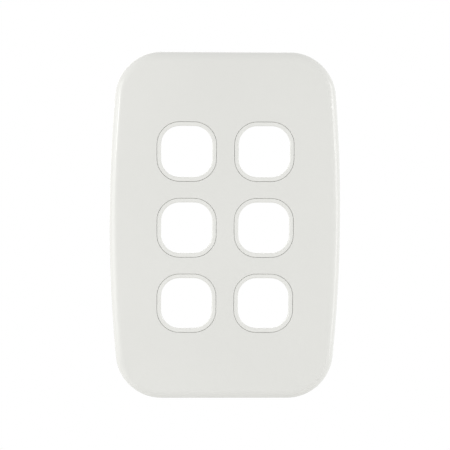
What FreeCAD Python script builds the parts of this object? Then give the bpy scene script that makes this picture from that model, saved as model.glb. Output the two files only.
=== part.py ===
import FreeCAD, Part
import math
import os
import Sketcher

# Driving sizes in millimetres, with the mouth's slope in degrees
SIZES = {
    # Cover plate
    "cover_width": 76.0,
    "cover_height": 114.6,
    "cover_depth": 8.5,
    "side_radius": 486.0,
    "corner_radius": 15.3,
    "edge_radius": 3.0,
    "wall_thickness": 1.8,
    "face_thickness": 2.0,
    "inner_chamfer": 1.2,
    "rim_gap": 0.2,
    # Openings for the switch mechanisms
    "column_pitch": 25.3,
    "row_pitch": 25.0,
    "collar_size": 19.4,
    "collar_radius": 7.4,
    "collar_gap": 0.08,
    "collar_recess": 0.1,
    "collar_wall": 1.35,
    "gap_chamfer": 0.12,
    "mouth_depth": 0.3,
    "mouth_slope": 45.0,
    "lip_depth": 1.0,
    "flare_width": 1.0,
    # Snap hooks of the cover
    "hook_spacing": 56.0,
    "hook_width": 9.0,
    "hook_height": 3.2,
    "hook_tip": 0.5,
    "hook_catch": 0.5,
    "hook_root": 0.8,
    "hook_clearance": 0.1,
    # Slot in the bottom rim for lifting the cover off
    "pry_width": 9.0,
    "pry_height": 1.3,
    # Grid web, skirt and ribs
    "web_clearance": 0.3,
    "web_thickness": 2.0,
    "web_overhang": 2.0,
    "skirt_thickness": 1.6,
    "rib_thickness": 1.4,
    "rib_depth": 3.3,
    "side_rib_offset": 13.2,
    # Latch fingers for the switch mechanisms
    "mechanism_width": 21.2,
    "mechanism_flange": 2.8,
    "finger_thickness": 1.0,
    "finger_width": 7.0,
    "finger_hook": 0.6,
    "finger_land": 0.4,
    "finger_lead": 0.9,
    # Screw bosses
    "screw_spacing": 84.0,
    "screw_hole": 4.2,
    "screw_head": 8.0,
    "screw_seat": 2.6,
    "boss_wall": 1.1,
}

COLUMNS = 2
ROWS = 3

# Levels above the wall plane, from the wall towards the front
COVER_FACE = "Size.cover_depth"
WEB_TOP = "(Size.cover_depth - Size.face_thickness)"
WEB_BOTTOM = f"({WEB_TOP} - Size.web_thickness)"
COLLAR_TOP = f"({COVER_FACE} - Size.collar_recess)"
FLARE_TOP = f"({COLLAR_TOP} - Size.lip_depth)"
FINGER_CATCH = f"({WEB_BOTTOM} - Size.mechanism_flange)"

# How far each outline lies inside the cover's outer outline
CAVITY_INSET = "Size.wall_thickness"
WEB_INSET = f"({CAVITY_INSET} + Size.inner_chamfer + Size.web_clearance)"
SKIRT_INSET = f"({WEB_INSET} + Size.web_overhang)"
SKIRT_INNER_INSET = f"({SKIRT_INSET} + Size.skirt_thickness)"

# Centre of the lower left opening, from which the others are repeated
FIRST_COLUMN = f"(-Size.column_pitch * {COLUMNS - 1} / 2)"
FIRST_ROW = f"(-Size.row_pitch * {ROWS - 1} / 2)"

# Sizes of the cover's cut-outs and of the clear openings inside the collars
CUTOUT_SIZE = "(Size.collar_size + 2 * Size.collar_gap)"
CUTOUT_RADIUS = "(Size.collar_radius + Size.collar_gap)"
OPENING_SIZE = "(Size.collar_size - 2 * Size.collar_wall)"
OPENING_RADIUS = "(Size.collar_radius - Size.collar_wall)"

# How close to a level an edge has to lie to count as being on it
LEVEL_TOLERANCE = 0.001

doc = FreeCAD.newDocument("grid_switch_plate")


def make_sheet():
    """Put the driving sizes into a sheet, one named cell each."""
    sheet = doc.addObject("Spreadsheet::Sheet", "Size")
    for row, (name, size) in enumerate(SIZES.items(), start=1):
        sheet.set(f"A{row}", name)
        sheet.set(f"B{row}", str(size))
        sheet.setAlias(f"B{row}", name)
    doc.recompute()
    return sheet


sheet = make_sheet()


def number(text):
    """Value of an expression, for the first position of a sketch's geometry."""
    return float(sheet.evalExpression(text))


def make_body(label):
    """Empty body whose front faces -Y once it is placed upright on the wall."""
    body = doc.addObject("PartDesign::Body", label)
    body.Label = label
    upright = FreeCAD.Rotation(FreeCAD.Vector(1, 0, 0), 90)
    body.Placement = FreeCAD.Placement(FreeCAD.Vector(0, 0, 0), upright)
    return body


def origin_feature(body, role):
    """Origin plane or axis of a body, by its role."""
    return next(part for part in body.Origin.OriginFeatures if part.Role == role)


def make_sketch(body, name, level, plane="XY_Plane"):
    """Sketch on an origin plane of its body, moved along the plane's normal."""
    sketch = body.newObject("Sketcher::SketchObject", name)
    sketch.AttachmentSupport = (origin_feature(body, plane), [""])
    sketch.MapMode = "FlatFace"
    sketch.setExpression("AttachmentOffset.Base.z", level)
    return sketch


def bind(sketch, text, *constraint):
    """Add a dimension whose value follows an expression."""
    index = sketch.addConstraint(Sketcher.Constraint(*constraint, number(text)))
    sketch.setExpression(f"Constraints[{index}]", text)


def join_tangent(sketch, edges):
    """Join a closed row of edges end to start, each tangent to the next."""
    for edge, following in zip(edges, edges[1:] + edges[:1]):
        sketch.addConstraint(Sketcher.Constraint("Tangent", edge, 2, following, 1))


def add_arc(sketch, x, y, radius, start, end):
    """Arc of a circle between two angles in radians."""
    circle = Part.Circle(FreeCAD.Vector(x, y, 0), FreeCAD.Vector(0, 0, 1), radius)
    return sketch.addGeometry(Part.ArcOfCircle(circle, start, end))


def add_line(sketch, x1, y1, x2, y2):
    """Straight line between two points."""
    return sketch.addGeometry(Part.LineSegment(FreeCAD.Vector(x1, y1, 0), FreeCAD.Vector(x2, y2, 0)))


def draw_plate_outline(sketch, inset):
    """Plate outline with flat ends, bowed long sides and round corners, inset from the cover's own."""
    half_width = f"(Size.cover_width / 2 - {inset})"
    half_height = f"(Size.cover_height / 2 - {inset})"
    side_radius = f"(Size.side_radius - {inset})"
    corner_radius = f"(Size.corner_radius - {inset})"
    side_reach = f"({side_radius} - {half_width})"

    side = number(side_radius)
    corner = number(corner_radius)
    reach = number(side_reach)
    top = number(half_height)
    corner_y = top - corner
    lean = math.asin(corner_y / (side - corner))
    corner_x = (side - corner) * math.cos(lean) - reach
    quarter = math.pi / 2

    right = add_arc(sketch, -reach, 0, side, -lean, lean)
    upper_right = add_arc(sketch, corner_x, corner_y, corner, lean, quarter)
    upper = add_line(sketch, corner_x, top, -corner_x, top)
    upper_left = add_arc(sketch, -corner_x, corner_y, corner, quarter, 2 * quarter - lean)
    left = add_arc(sketch, reach, 0, side, 2 * quarter - lean, 2 * quarter + lean)
    lower_left = add_arc(sketch, -corner_x, -corner_y, corner, 2 * quarter + lean, 3 * quarter)
    lower = add_line(sketch, -corner_x, -top, corner_x, -top)
    lower_right = add_arc(sketch, corner_x, -corner_y, corner, 3 * quarter, 4 * quarter - lean)
    corners = [upper_right, upper_left, lower_left, lower_right]
    join_tangent(sketch, [right, upper_right, upper, upper_left, left, lower_left, lower, lower_right])

    for edge in (upper, lower):
        sketch.addConstraint(Sketcher.Constraint("Horizontal", edge))
    for edge in (right, left):
        sketch.addConstraint(Sketcher.Constraint("PointOnObject", edge, 3, -1))
        bind(sketch, side_radius, "Radius", edge)
    for edge in corners:
        bind(sketch, corner_radius, "Radius", edge)
    bind(sketch, side_reach, "DistanceX", right, 3, -1, 1)
    bind(sketch, side_reach, "DistanceX", -1, 1, left, 3)
    bind(sketch, half_height, "DistanceY", -1, 1, upper, 1)
    bind(sketch, half_height, "DistanceY", lower, 1, -1, 1)


def draw_rounded_square(sketch, x, y, size, radius):
    """Square with round corners about a point."""
    right_x = f"({x} + {size} / 2)"
    left_x = f"({x} - {size} / 2)"
    upper_y = f"({y} + {size} / 2)"
    lower_y = f"({y} - {size} / 2)"

    corner = number(radius)
    x_max = number(right_x)
    x_min = number(left_x)
    y_max = number(upper_y)
    y_min = number(lower_y)
    quarter = math.pi / 2

    right = add_line(sketch, x_max, y_min + corner, x_max, y_max - corner)
    upper_right = add_arc(sketch, x_max - corner, y_max - corner, corner, 0, quarter)
    upper = add_line(sketch, x_max - corner, y_max, x_min + corner, y_max)
    upper_left = add_arc(sketch, x_min + corner, y_max - corner, corner, quarter, 2 * quarter)
    left = add_line(sketch, x_min, y_max - corner, x_min, y_min + corner)
    lower_left = add_arc(sketch, x_min + corner, y_min + corner, corner, 2 * quarter, 3 * quarter)
    lower = add_line(sketch, x_min + corner, y_min, x_max - corner, y_min)
    lower_right = add_arc(sketch, x_max - corner, y_min + corner, corner, 3 * quarter, 4 * quarter)
    join_tangent(sketch, [right, upper_right, upper, upper_left, left, lower_left, lower, lower_right])

    for edge in (upper, lower):
        sketch.addConstraint(Sketcher.Constraint("Horizontal", edge))
    for edge in (right, left):
        sketch.addConstraint(Sketcher.Constraint("Vertical", edge))
    for edge in (upper_right, upper_left, lower_left, lower_right):
        bind(sketch, radius, "Radius", edge)
    bind(sketch, right_x, "DistanceX", -1, 1, right, 1)
    bind(sketch, left_x, "DistanceX", -1, 1, left, 1)
    bind(sketch, upper_y, "DistanceY", -1, 1, upper, 1)
    bind(sketch, lower_y, "DistanceY", -1, 1, lower, 1)


def draw_polygon(sketch, corners):
    """Closed polygon through corners that are pairs of expressions."""
    places = [(number(x), number(y)) for x, y in corners]
    edges = []
    for (x1, y1), (x2, y2) in zip(places, places[1:] + places[:1]):
        edges.append(add_line(sketch, x1, y1, x2, y2))
    for edge, following in zip(edges, edges[1:] + edges[:1]):
        sketch.addConstraint(Sketcher.Constraint("Coincident", edge, 2, following, 1))
    for edge, (x, y) in zip(edges, corners):
        bind(sketch, x, "DistanceX", -1, 1, edge, 1)
        bind(sketch, y, "DistanceY", -1, 1, edge, 1)


def draw_rectangle(sketch, x1, y1, x2, y2):
    """Rectangle between two opposite corners."""
    draw_polygon(sketch, [(x1, y1), (x2, y1), (x2, y2), (x1, y2)])


def draw_circle(sketch, x, y, diameter):
    """Circle about a point."""
    centre = FreeCAD.Vector(number(x), number(y), 0)
    circle = Part.Circle(centre, FreeCAD.Vector(0, 0, 1), number(diameter) / 2)
    edge = sketch.addGeometry(circle)
    bind(sketch, diameter, "Diameter", edge)
    bind(sketch, x, "DistanceX", -1, 1, edge, 3)
    bind(sketch, y, "DistanceY", -1, 1, edge, 3)


def volume(item):
    """Volume of a body or feature, nothing while it is empty."""
    doc.recompute()
    return 0.0 if item.Shape.isNull() else item.Shape.Volume


def add_pad(body, name, sketch, length, symmetric=False):
    """Material added along a sketch's normal."""
    before = volume(body)
    pad = body.newObject("PartDesign::Pad", name)
    pad.Profile = sketch
    if symmetric:
        pad.SideType = "Symmetric"
    pad.setExpression("Length", length)
    body.Tip = pad
    if volume(pad) <= before:
        raise RuntimeError(f"{name} adds no material")
    return pad


def add_pocket(body, name, sketch, length=None, taper=None):
    """Material cut away along a sketch's normal, through everything if no length is given."""
    before = volume(body)
    pocket = body.newObject("PartDesign::Pocket", name)
    pocket.Profile = sketch
    pocket.Reversed = True
    if length is None:
        pocket.Type = "ThroughAll"
    else:
        pocket.setExpression("Length", length)
    if taper is not None:
        pocket.setExpression("TaperAngle", taper)
    body.Tip = pocket
    if volume(pocket) >= before:
        raise RuntimeError(f"{name} cuts nothing")
    return pocket


def repeat(body, name, originals, axes):
    """Copies of features in a row or a grid: axes holds (role, pitch, count) for each direction."""
    pattern = body.newObject("PartDesign::LinearPattern", name)
    pattern.Originals = originals
    for suffix, (role, pitch, count) in zip(("", "2"), axes):
        setattr(pattern, f"Direction{suffix}", (origin_feature(body, role), [""]))
        setattr(pattern, f"Mode{suffix}", "Extent")
        setattr(pattern, f"Occurrences{suffix}", count)
        pattern.setExpression(f"Length{suffix}", f"{pitch} * {count - 1}")
    body.Tip = pattern
    doc.recompute()
    return pattern


def edges_at_level(body, level, keep=None):
    """Names of the edges of a body that lie at one level, all of them or those that keep accepts."""
    height = number(level)
    local = body.Tip.Shape
    names = []
    for index, edge in enumerate(local.Edges, start=1):
        box = edge.BoundBox
        flat = abs(box.ZMin - height) < LEVEL_TOLERANCE and abs(box.ZMax - height) < LEVEL_TOLERANCE
        if flat and (keep is None or keep(box)):
            names.append(f"Edge{index}")
    return names


def dress_edges(body, kind, name, edges, measure, size):
    """Treat some edges of a body with a fillet or a chamfer."""
    base = body.Tip
    feature = body.newObject(kind, name)
    feature.Base = (base, edges)
    feature.setExpression(measure, size)
    body.Tip = feature
    doc.recompute()


def add_fillet(body, name, edges, radius):
    """Round some edges of a body."""
    dress_edges(body, "PartDesign::Fillet", name, edges, "Radius", radius)


def add_chamfer(body, name, edges, size):
    """Bevel some edges of a body."""
    dress_edges(body, "PartDesign::Chamfer", name, edges, "Size", size)


# The same grid of copies serves every opening
OPENING_GRID = [
    ("X_Axis", "Size.column_pitch", COLUMNS),
    ("Y_Axis", "Size.row_pitch", ROWS),
]


def side_x(inset, y):
    """Expression for the half width at a height of an outline that lies inside the cover's."""
    bow = f"sqrt((Size.side_radius - {inset}) ^ 2 - ({y}) ^ 2)"
    return f"(Size.cover_width / 2 - Size.side_radius + {bow})"


def inside_openings(box):
    """Whether an edge belongs to the cut-outs and not to the plate's outline."""
    reach_x = number(f"-{FIRST_COLUMN} + {CUTOUT_SIZE} / 2") + LEVEL_TOLERANCE
    reach_y = number(f"-{FIRST_ROW} + {CUTOUT_SIZE} / 2") + LEVEL_TOLERANCE
    return max(-box.XMin, box.XMax) < reach_x and max(-box.YMin, box.YMax) < reach_y


def make_cover():
    """Cover: a shallow shell with a rounded front edge, six cut-outs and snap hooks."""
    body = make_body("cover_plate")

    # Outer block with the rounded front edge
    outline = make_sketch(body, "cover_outline", "Size.rim_gap")
    draw_plate_outline(outline, "0")
    add_pad(body, "cover_block", outline, f"{COVER_FACE} - Size.rim_gap")
    add_fillet(body, "cover_edge", edges_at_level(body, COVER_FACE), "Size.edge_radius")

    # Cavity that leaves the face and the side wall
    cavity = make_sketch(body, "cavity_outline", "Size.rim_gap")
    draw_plate_outline(cavity, CAVITY_INSET)
    add_pocket(body, "cavity", cavity, f"{WEB_TOP} - Size.rim_gap")
    add_chamfer(body, "cavity_edge", edges_at_level(body, WEB_TOP), "Size.inner_chamfer")

    # Cut-outs that the grid's collars fill
    cutout = make_sketch(body, "cutout_outline", WEB_TOP)
    draw_rounded_square(cutout, FIRST_COLUMN, FIRST_ROW, CUTOUT_SIZE, CUTOUT_RADIUS)
    first_cutout = add_pocket(body, "cutout", cutout)
    repeat(body, "cutouts", [first_cutout], OPENING_GRID)
    cutout_edges = edges_at_level(body, COVER_FACE, inside_openings)
    add_chamfer(body, "cutout_edges", cutout_edges, "Size.gap_chamfer")

    # Wedges on the long walls that catch under the edge of the grid's web
    hook_y = "Size.hook_spacing / 2"
    tip = f"({side_x(WEB_INSET, hook_y)} - Size.hook_catch)"
    root = f"({side_x(CAVITY_INSET, hook_y)} + Size.hook_root)"
    top = f"({WEB_BOTTOM} - Size.hook_clearance)"
    hooks = make_sketch(body, "hook_profile", hook_y, "XZ_Plane")
    for sign in ("", "-"):
        draw_polygon(hooks, [
            (f"{sign}{root}", top),
            (f"{sign}{tip}", top),
            (f"{sign}{tip}", f"({top} - Size.hook_tip)"),
            (f"{sign}{root}", f"({top} - Size.hook_height)"),
        ])
    first_hooks = add_pad(body, "hook_pair", hooks, "Size.hook_width", symmetric=True)
    repeat(body, "hooks", [first_hooks], [("Y_Axis", "Size.hook_spacing", 2)])

    # Slot for a screwdriver in the bottom rim
    pry = make_sketch(body, "pry_outline", "Size.rim_gap")
    outside = "(-Size.cover_height / 2 - Size.wall_thickness)"
    inside = "(-Size.cover_height / 2 + 2 * Size.wall_thickness)"
    draw_rectangle(pry, "(-Size.pry_width / 2)", outside, "(Size.pry_width / 2)", inside)
    add_pocket(body, "pry_slot", pry, "Size.pry_height")
    return body


def make_grid():
    """Grid: a ribbed web with a rear skirt, six collars, latch fingers and two screw bosses."""
    body = make_body("grid_frame")

    # Web, and the skirt that stands on the wall
    web = make_sketch(body, "web_outline", WEB_BOTTOM)
    draw_plate_outline(web, WEB_INSET)
    add_pad(body, "web", web, "Size.web_thickness")
    skirt = make_sketch(body, "skirt_outline", "0")
    draw_plate_outline(skirt, SKIRT_INSET)
    draw_plate_outline(skirt, SKIRT_INNER_INSET)
    add_pad(body, "skirt", skirt, WEB_BOTTOM)

    # Ribs between and beside the openings
    rib_level = f"({WEB_BOTTOM} - Size.rib_depth)"
    rib_reach = f"(-{FIRST_COLUMN} + Size.side_rib_offset + Size.rib_thickness / 2)"
    rib_end = f"({FIRST_ROW} - Size.row_pitch / 2)"
    lower_side = f"({rib_end} - Size.rib_thickness / 2)"
    upper_side = f"({rib_end} + Size.rib_thickness / 2)"
    cross = make_sketch(body, "cross_rib_outline", rib_level)
    draw_rectangle(cross, f"(-{rib_reach})", lower_side, rib_reach, upper_side)
    first_rib = add_pad(body, "cross_rib", cross, "Size.rib_depth")
    repeat(body, "cross_ribs", [first_rib], [("Y_Axis", "Size.row_pitch", ROWS + 1)])
    sides = make_sketch(body, "side_rib_outline", rib_level)
    for sign in ("", "-"):
        outer = f"{sign}{rib_reach}"
        inner = f"{sign}({rib_reach} - Size.rib_thickness)"
        draw_rectangle(sides, outer, rib_end, inner, f"(-{rib_end})")
    add_pad(body, "side_ribs", sides, "Size.rib_depth")

    # Collars that stand in the cover's cut-outs
    collar = make_sketch(body, "collar_outline", WEB_TOP)
    draw_rounded_square(collar, FIRST_COLUMN, FIRST_ROW, "Size.collar_size", "Size.collar_radius")
    first_collar = add_pad(body, "collar", collar, f"{COLLAR_TOP} - {WEB_TOP}")
    repeat(body, "collars", [first_collar], OPENING_GRID)
    add_chamfer(body, "collar_edges", edges_at_level(body, COLLAR_TOP), "Size.gap_chamfer")

    # Openings, straight at the lip, bevelled at the mouth and flared towards the rear
    opening = make_sketch(body, "opening_outline", WEB_BOTTOM)
    draw_rounded_square(opening, FIRST_COLUMN, FIRST_ROW, OPENING_SIZE, OPENING_RADIUS)
    first_opening = add_pocket(body, "opening", opening)
    repeat(body, "openings", [first_opening], OPENING_GRID)
    mouth = make_sketch(body, "mouth_outline", f"({COLLAR_TOP} - Size.mouth_depth)")
    draw_rounded_square(mouth, FIRST_COLUMN, FIRST_ROW, OPENING_SIZE, OPENING_RADIUS)
    first_mouth = add_pocket(body, "mouth", mouth, "Size.mouth_depth", "Size.mouth_slope")
    repeat(body, "mouths", [first_mouth], OPENING_GRID)
    flare = make_sketch(body, "flare_outline", WEB_BOTTOM)
    flare_size = f"({OPENING_SIZE} + 2 * Size.flare_width)"
    flare_radius = f"({OPENING_RADIUS} + Size.flare_width)"
    flare_depth = f"({FLARE_TOP} - {WEB_BOTTOM})"
    flare_angle = f"-atan(Size.flare_width / {flare_depth})"
    draw_rounded_square(flare, FIRST_COLUMN, FIRST_ROW, flare_size, flare_radius)
    first_flare = add_pocket(body, "flare", flare, flare_depth, flare_angle)
    repeat(body, "flares", [first_flare], OPENING_GRID)

    # Latch fingers, a pair behind each opening
    fingers = make_sketch(body, "finger_profile", f"(-{FIRST_ROW})", "XZ_Plane")
    for sign in ("-", "+"):
        inner = f"({FIRST_COLUMN} {sign} Size.mechanism_width / 2)"
        outer = f"({inner} {sign} Size.finger_thickness)"
        inward = f"({inner} {sign} (-Size.finger_hook))"
        land = f"({FINGER_CATCH} - Size.finger_land)"
        end = f"({land} - Size.finger_lead)"
        draw_polygon(fingers, [
            (outer, WEB_BOTTOM),
            (outer, end),
            (inner, end),
            (inward, land),
            (inward, FINGER_CATCH),
            (inner, FINGER_CATCH),
            (inner, WEB_BOTTOM),
        ])
    first_fingers = add_pad(body, "finger_pair", fingers, "Size.finger_width", symmetric=True)
    repeat(body, "latch_fingers", [first_fingers], OPENING_GRID)

    # Screw bosses with a seat for the screw head
    boss = make_sketch(body, "boss_outline", "0")
    seat = make_sketch(body, "screw_seat_outline", f"({WEB_TOP} - Size.screw_seat)")
    hole = make_sketch(body, "screw_hole_outline", "0")
    for sign in ("", "-"):
        y = f"({sign}Size.screw_spacing / 2)"
        draw_circle(boss, "0", y, "(Size.screw_head + 2 * Size.boss_wall)")
        draw_circle(seat, "0", y, "Size.screw_head")
        draw_circle(hole, "0", y, "Size.screw_hole")
    add_pad(body, "bosses", boss, WEB_BOTTOM)
    add_pocket(body, "screw_seats", seat)
    add_pocket(body, "screw_holes", hole)
    return body


def check_document():
    """Stop if any feature failed."""
    for item in doc.Objects:
        if "Invalid" in item.State or "Error" in item.State:
            raise RuntimeError(f"{item.Label} failed: {item.State}")


def write_part(body):
    """Check a finished piece and write its file."""
    shape = body.Shape
    if shape.isNull() or not shape.isValid() or len(shape.Solids) != 1:
        raise RuntimeError(f"{body.Label} is not one valid solid")
    shape.exportStep(f"parts/{body.Label}.step")
    print(f"{body.Label}: {shape.Volume:.1f} mm3, {len(shape.Faces)} faces")


bodies = [make_cover(), make_grid()]
doc.recompute()
check_document()
os.makedirs("parts", exist_ok=True)
for piece in bodies:
    write_part(piece)
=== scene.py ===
import math

import bmesh
import bpy
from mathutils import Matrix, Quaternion, Vector


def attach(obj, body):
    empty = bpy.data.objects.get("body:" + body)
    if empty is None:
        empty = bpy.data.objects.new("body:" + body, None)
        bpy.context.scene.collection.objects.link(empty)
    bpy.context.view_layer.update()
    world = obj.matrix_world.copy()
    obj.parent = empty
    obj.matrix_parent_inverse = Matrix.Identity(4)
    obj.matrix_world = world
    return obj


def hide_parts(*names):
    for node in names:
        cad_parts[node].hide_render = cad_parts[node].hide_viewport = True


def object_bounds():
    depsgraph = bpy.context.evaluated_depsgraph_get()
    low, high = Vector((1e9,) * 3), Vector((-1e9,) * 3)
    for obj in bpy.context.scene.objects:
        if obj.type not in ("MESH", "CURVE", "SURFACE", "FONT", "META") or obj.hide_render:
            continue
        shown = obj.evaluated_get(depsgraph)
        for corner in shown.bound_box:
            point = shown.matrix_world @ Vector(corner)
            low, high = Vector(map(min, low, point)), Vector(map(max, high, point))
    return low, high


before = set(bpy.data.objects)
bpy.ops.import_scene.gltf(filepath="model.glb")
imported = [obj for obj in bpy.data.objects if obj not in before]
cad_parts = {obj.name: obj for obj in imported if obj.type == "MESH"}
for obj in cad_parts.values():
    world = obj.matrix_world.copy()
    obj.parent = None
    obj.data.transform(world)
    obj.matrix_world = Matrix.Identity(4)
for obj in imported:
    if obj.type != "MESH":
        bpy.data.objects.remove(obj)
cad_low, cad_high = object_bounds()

MM = 0.001
scene = bpy.context.scene
face_centre = Vector((0.0, cad_low.y, 0.0))


# Pieces

# Corners closer than this are welded, and facets that turn by less than this are merged
WELD_DISTANCE = 0.0005 * MM
FLAT_ANGLE = math.radians(0.05)

# Edges that turn by more than this are sharp, and get the small rounding that a mould leaves
CREASE_ANGLE = math.radians(30)
EDGE_ROUND = 0.06 * MM
EDGE_SEGMENTS = 2


def make_moulding(node, name):
    """Moulded piece in the form of a CAD node, with welded facets, smooth shading and softened edges."""
    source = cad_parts[node].data
    corners = [vertex.co for vertex in source.vertices]
    facets = [facet.vertices for facet in source.polygons]
    mesh = bpy.data.meshes.new(name)
    mesh.from_pydata(corners, [], facets)

    shell = bmesh.new()
    shell.from_mesh(mesh)
    bmesh.ops.remove_doubles(shell, verts=shell.verts, dist=WELD_DISTANCE)
    bmesh.ops.dissolve_limit(shell, angle_limit=FLAT_ANGLE, verts=shell.verts, edges=shell.edges)
    shell.to_mesh(mesh)
    shell.free()
    mesh.shade_smooth()
    mesh.set_sharp_from_angle(angle=CREASE_ANGLE)

    piece = bpy.data.objects.new(name, mesh)
    scene.collection.objects.link(piece)
    bevel = piece.modifiers.new("soft_edges", "BEVEL")
    bevel.limit_method = "ANGLE"
    bevel.angle_limit = CREASE_ANGLE
    bevel.width = EDGE_ROUND
    bevel.segments = EDGE_SEGMENTS
    normals = piece.modifiers.new("even_shading", "WEIGHTED_NORMAL")
    normals.keep_sharp = True
    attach(piece, "root")
    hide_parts(node)
    return piece


# Materials

PLASTIC_IOR = 1.52

# Most values of a noise lie between these two
NOISE_LOW = 0.3
NOISE_HIGH = 0.7

# Textures of the plastic: width of the spots, and how many finer layers lie on them
FLOW_WIDTH, FLOW_DETAIL = 34 * MM, 2.0
GLOSS_WIDTH, GLOSS_DETAIL = 9 * MM, 3.0
PEEL_WIDTH, PEEL_DETAIL = 1.6 * MM, 1.0
GRAIN_WIDTH, GRAIN_DETAIL = 0.22 * MM, 2.0

# Height of the orange peel, and of the fine grain on it
PEEL_DEPTH = 0.003 * MM
GRAIN_DEPTH = 0.25 * PEEL_DEPTH


def srgb(*channels):
    """Linear colour from display values between 0 and 255."""
    linear = []
    for channel in channels:
        value = channel / 255
        linear.append(value / 12.92 if value <= 0.04045 else ((value + 0.055) / 1.055) ** 2.4)
    return (*linear, 1.0)


def add_node(tree, kind, **settings):
    """Shader node with some of its properties set."""
    node = tree.nodes.new(kind)
    for name, value in settings.items():
        setattr(node, name, value)
    return node


def add_noise(tree, coordinates, width, detail):
    """Noise with spots of about this width, in metres."""
    noise = add_node(tree, "ShaderNodeTexNoise")
    noise.inputs["Scale"].default_value = 1.0 / width
    noise.inputs["Detail"].default_value = detail
    tree.links.new(coordinates, noise.inputs["Vector"])
    return noise.outputs["Fac"]


def add_range(tree, noise, low, high):
    """Spread a noise over a range of values."""
    spread = add_node(tree, "ShaderNodeMapRange")
    spread.inputs["From Min"].default_value = NOISE_LOW
    spread.inputs["From Max"].default_value = NOISE_HIGH
    spread.inputs["To Min"].default_value = low
    spread.inputs["To Max"].default_value = high
    tree.links.new(noise, spread.inputs["Value"])
    return spread.outputs["Result"]


def add_bump(tree, height, depth, normal=None):
    """Raise the surface by a height map, at most depth metres."""
    bump = add_node(tree, "ShaderNodeBump")
    bump.inputs["Distance"].default_value = depth
    tree.links.new(height, bump.inputs["Height"])
    if normal is not None:
        tree.links.new(normal, bump.inputs["Normal"])
    return bump.outputs["Normal"]


def make_plastic(name, light, dark, roughness):
    """Moulded white plastic: faint flow shading, uneven gloss, orange peel and a fine grain."""
    material = bpy.data.materials.new(name)
    material.use_nodes = True
    tree = material.node_tree
    shader = tree.nodes["Principled BSDF"]
    shader.inputs["IOR"].default_value = PLASTIC_IOR
    place = add_node(tree, "ShaderNodeTexCoord").outputs["Object"]

    flow = add_noise(tree, place, FLOW_WIDTH, FLOW_DETAIL)
    tint = add_node(tree, "ShaderNodeMix", data_type="RGBA")
    tint.inputs["A"].default_value = dark
    tint.inputs["B"].default_value = light
    tree.links.new(add_range(tree, flow, 0.0, 1.0), tint.inputs["Factor"])
    tree.links.new(tint.outputs["Result"], shader.inputs["Base Color"])

    gloss = add_noise(tree, place, GLOSS_WIDTH, GLOSS_DETAIL)
    tree.links.new(add_range(tree, gloss, *roughness), shader.inputs["Roughness"])

    peel = add_noise(tree, place, PEEL_WIDTH, PEEL_DETAIL)
    grain = add_noise(tree, place, GRAIN_WIDTH, GRAIN_DETAIL)
    surface = add_bump(tree, peel, PEEL_DEPTH)
    surface = add_bump(tree, grain, GRAIN_DEPTH, surface)
    tree.links.new(surface, shader.inputs["Normal"])
    return material


# Stage

# Strength of the surroundings as a light source, where 1 is white
AMBIENT = 0.81

# Half the floor's side, and how far below the plate it lies
FLOOR_HALF = 3.0
FLOOR_DROP = 0.12
FLOOR_PALE = srgb(238, 238, 237)
FLOOR_ROUGHNESS = 0.9

# How far out the floor starts and ends turning into the background
SHADOW_REACH = 0.10
SWEEP_REACH = 0.26


def seen_directly(tree):
    """1 for camera, glossy and transmission rays, 0 for the others."""
    path = add_node(tree, "ShaderNodeLightPath")
    either = path.outputs["Is Camera Ray"]
    for kind in ("Is Glossy Ray", "Is Transmission Ray"):
        larger = add_node(tree, "ShaderNodeMath", operation="MAXIMUM")
        tree.links.new(either, larger.inputs[0])
        tree.links.new(path.outputs[kind], larger.inputs[1])
        either = larger.outputs["Value"]
    return either


def make_floor():
    """Pale floor that keeps the plate's soft shadow and turns into the white background further out."""
    level = cad_low.z - FLOOR_DROP
    mesh = bpy.data.meshes.new("floor")
    corners = [
        (-FLOOR_HALF, -FLOOR_HALF, level),
        (FLOOR_HALF, -FLOOR_HALF, level),
        (FLOOR_HALF, FLOOR_HALF, level),
        (-FLOOR_HALF, FLOOR_HALF, level),
    ]
    mesh.from_pydata(corners, [], [(0, 1, 2, 3)])
    floor = bpy.data.objects.new("floor", mesh)
    scene.collection.objects.link(floor)
    material = bpy.data.materials.new("floor_pale")
    material.use_nodes = True
    tree = material.node_tree
    surface = tree.nodes["Principled BSDF"]
    surface.inputs["Base Color"].default_value = FLOOR_PALE
    surface.inputs["Roughness"].default_value = FLOOR_ROUGHNESS

    place = add_node(tree, "ShaderNodeTexCoord").outputs["Object"]
    foot = add_node(tree, "ShaderNodeVectorMath", operation="DISTANCE")
    foot.inputs[1].default_value = (0.0, 0.0, level)
    tree.links.new(place, foot.inputs[0])
    outside = add_node(tree, "ShaderNodeMapRange", interpolation_type="SMOOTHSTEP")
    outside.inputs["From Min"].default_value = SHADOW_REACH
    outside.inputs["From Max"].default_value = SWEEP_REACH
    tree.links.new(foot.outputs["Value"], outside.inputs["Value"])
    share = add_node(tree, "ShaderNodeMath", operation="MULTIPLY")
    tree.links.new(seen_directly(tree), share.inputs[0])
    tree.links.new(outside.outputs["Result"], share.inputs[1])

    white = add_node(tree, "ShaderNodeEmission")
    mix = add_node(tree, "ShaderNodeMixShader")
    tree.links.new(share.outputs["Value"], mix.inputs["Fac"])
    tree.links.new(surface.outputs["BSDF"], mix.inputs[1])
    tree.links.new(white.outputs["Emission"], mix.inputs[2])
    tree.links.new(mix.outputs["Shader"], tree.nodes["Material Output"].inputs["Surface"])
    mesh.materials.append(material)


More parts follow.
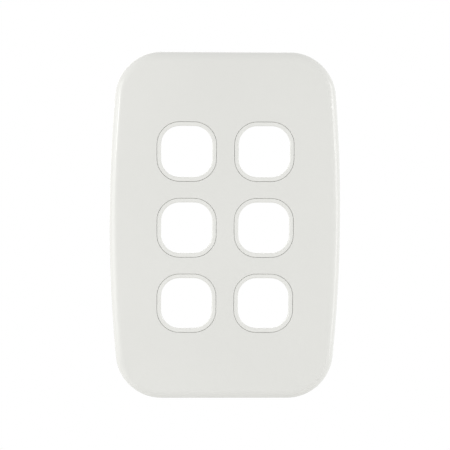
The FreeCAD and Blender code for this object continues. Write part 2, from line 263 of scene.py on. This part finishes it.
def make_world():
    """White surroundings, dimmer as a light source than as a background."""
    world = bpy.data.worlds.new("studio")
    world.use_nodes = True
    scene.world = world
    tree = world.node_tree
    background = tree.nodes["Background"]
    strength = add_node(tree, "ShaderNodeMapRange")
    strength.inputs["To Min"].default_value = AMBIENT
    strength.inputs["To Max"].default_value = 1.0
    tree.links.new(seen_directly(tree), strength.inputs["Value"])
    background.inputs["Color"].default_value = (1.0, 1.0, 1.0, 1.0)
    tree.links.new(strength.outputs["Result"], background.inputs["Strength"])


# Lamps

# Azimuth and elevation in degrees, then distance, width and height in metres, and power in watts
SOFTBOXES = {
    "left_panel": (-71, 4, 0.27, 0.18, 0.24, 0.2),
    "right_panel": (76, 3, 0.27, 0.1, 0.24, 0.165),
    "left_key": (-54, 5, 0.75, 0.03, 0.12, 0.34),
    "right_key": (59, 4, 0.75, 0.03, 0.14, 0.21),
    "back_softbox": (195, 14, 0.7, 0.5, 0.5, 0.5),
}


def direction_to(azimuth, elevation):
    """Direction from the plate, with azimuth in degrees from its front to its right."""
    level = math.cos(math.radians(elevation))
    return Vector((
        math.sin(math.radians(azimuth)) * level,
        -math.cos(math.radians(azimuth)) * level,
        math.sin(math.radians(elevation)),
    ))


def make_softbox(name, azimuth, elevation, distance, width, height, power):
    """Area lamp that faces the plate."""
    lamp = bpy.data.lights.new(name, "AREA")
    lamp.shape = "RECTANGLE"
    lamp.size = width
    lamp.size_y = height
    lamp.energy = power
    softbox = bpy.data.objects.new(name, lamp)
    direction = direction_to(azimuth, elevation)
    softbox.location = face_centre + distance * direction
    softbox.rotation_mode = "QUATERNION"
    softbox.rotation_quaternion = (-direction).to_track_quat("-Z", "Y")
    softbox.visible_camera = False
    scene.collection.objects.link(softbox)


# Camera

# Where the camera stands: metres from the middle of the face, and degrees up, to the right and of roll
CAMERA_DISTANCE = 0.500
CAMERA_ELEVATION = 6.44
CAMERA_AZIMUTH = -1.53
CAMERA_ROLL = 0.3

# Point it looks at, from the middle of the face
AIM_OFFSET = Vector((-0.08, 0.0, 0.99)) * MM

# Focal length and width of the frame in pixels, and width of the sensor in millimetres
CAMERA_FOCAL = 1526.0
FRAME_PIXELS = 450.0
SENSOR_WIDTH = 36.0

# Nearest that it sees, in metres
CAMERA_NEAR = 0.01


def make_camera():
    """Camera of the photograph, close to the plate and a little above its middle."""
    data = bpy.data.cameras.new("camera")
    data.sensor_width = SENSOR_WIDTH
    data.lens = CAMERA_FOCAL / FRAME_PIXELS * SENSOR_WIDTH
    data.clip_start = CAMERA_NEAR
    camera = bpy.data.objects.new("camera", data)
    camera.location = face_centre + CAMERA_DISTANCE * direction_to(CAMERA_AZIMUTH, CAMERA_ELEVATION)
    facing = (face_centre + AIM_OFFSET - camera.location).to_track_quat("-Z", "Y")
    camera.rotation_mode = "QUATERNION"
    camera.rotation_quaternion = facing @ Quaternion((0.0, 0.0, 1.0), math.radians(CAMERA_ROLL))
    scene.collection.objects.link(camera)
    scene.camera = camera


# Scene

cover = make_moulding("cover_plate", "cover_moulding")
grid = make_moulding("grid_frame", "grid_moulding")
cover_plastic = make_plastic(
    "cover_plastic", light=srgb(228, 228, 224), dark=srgb(226, 226, 222), roughness=(0.16, 0.2)
)
grid_plastic = make_plastic(
    "grid_plastic", light=srgb(232, 232, 228), dark=srgb(230, 230, 226), roughness=(0.2, 0.24)
)
cover.data.materials.append(cover_plastic)
grid.data.materials.append(grid_plastic)

make_floor()
make_world()
for name, settings in SOFTBOXES.items():
    make_softbox(name, *settings)
make_camera()
scene.view_settings.view_transform = "Standard"
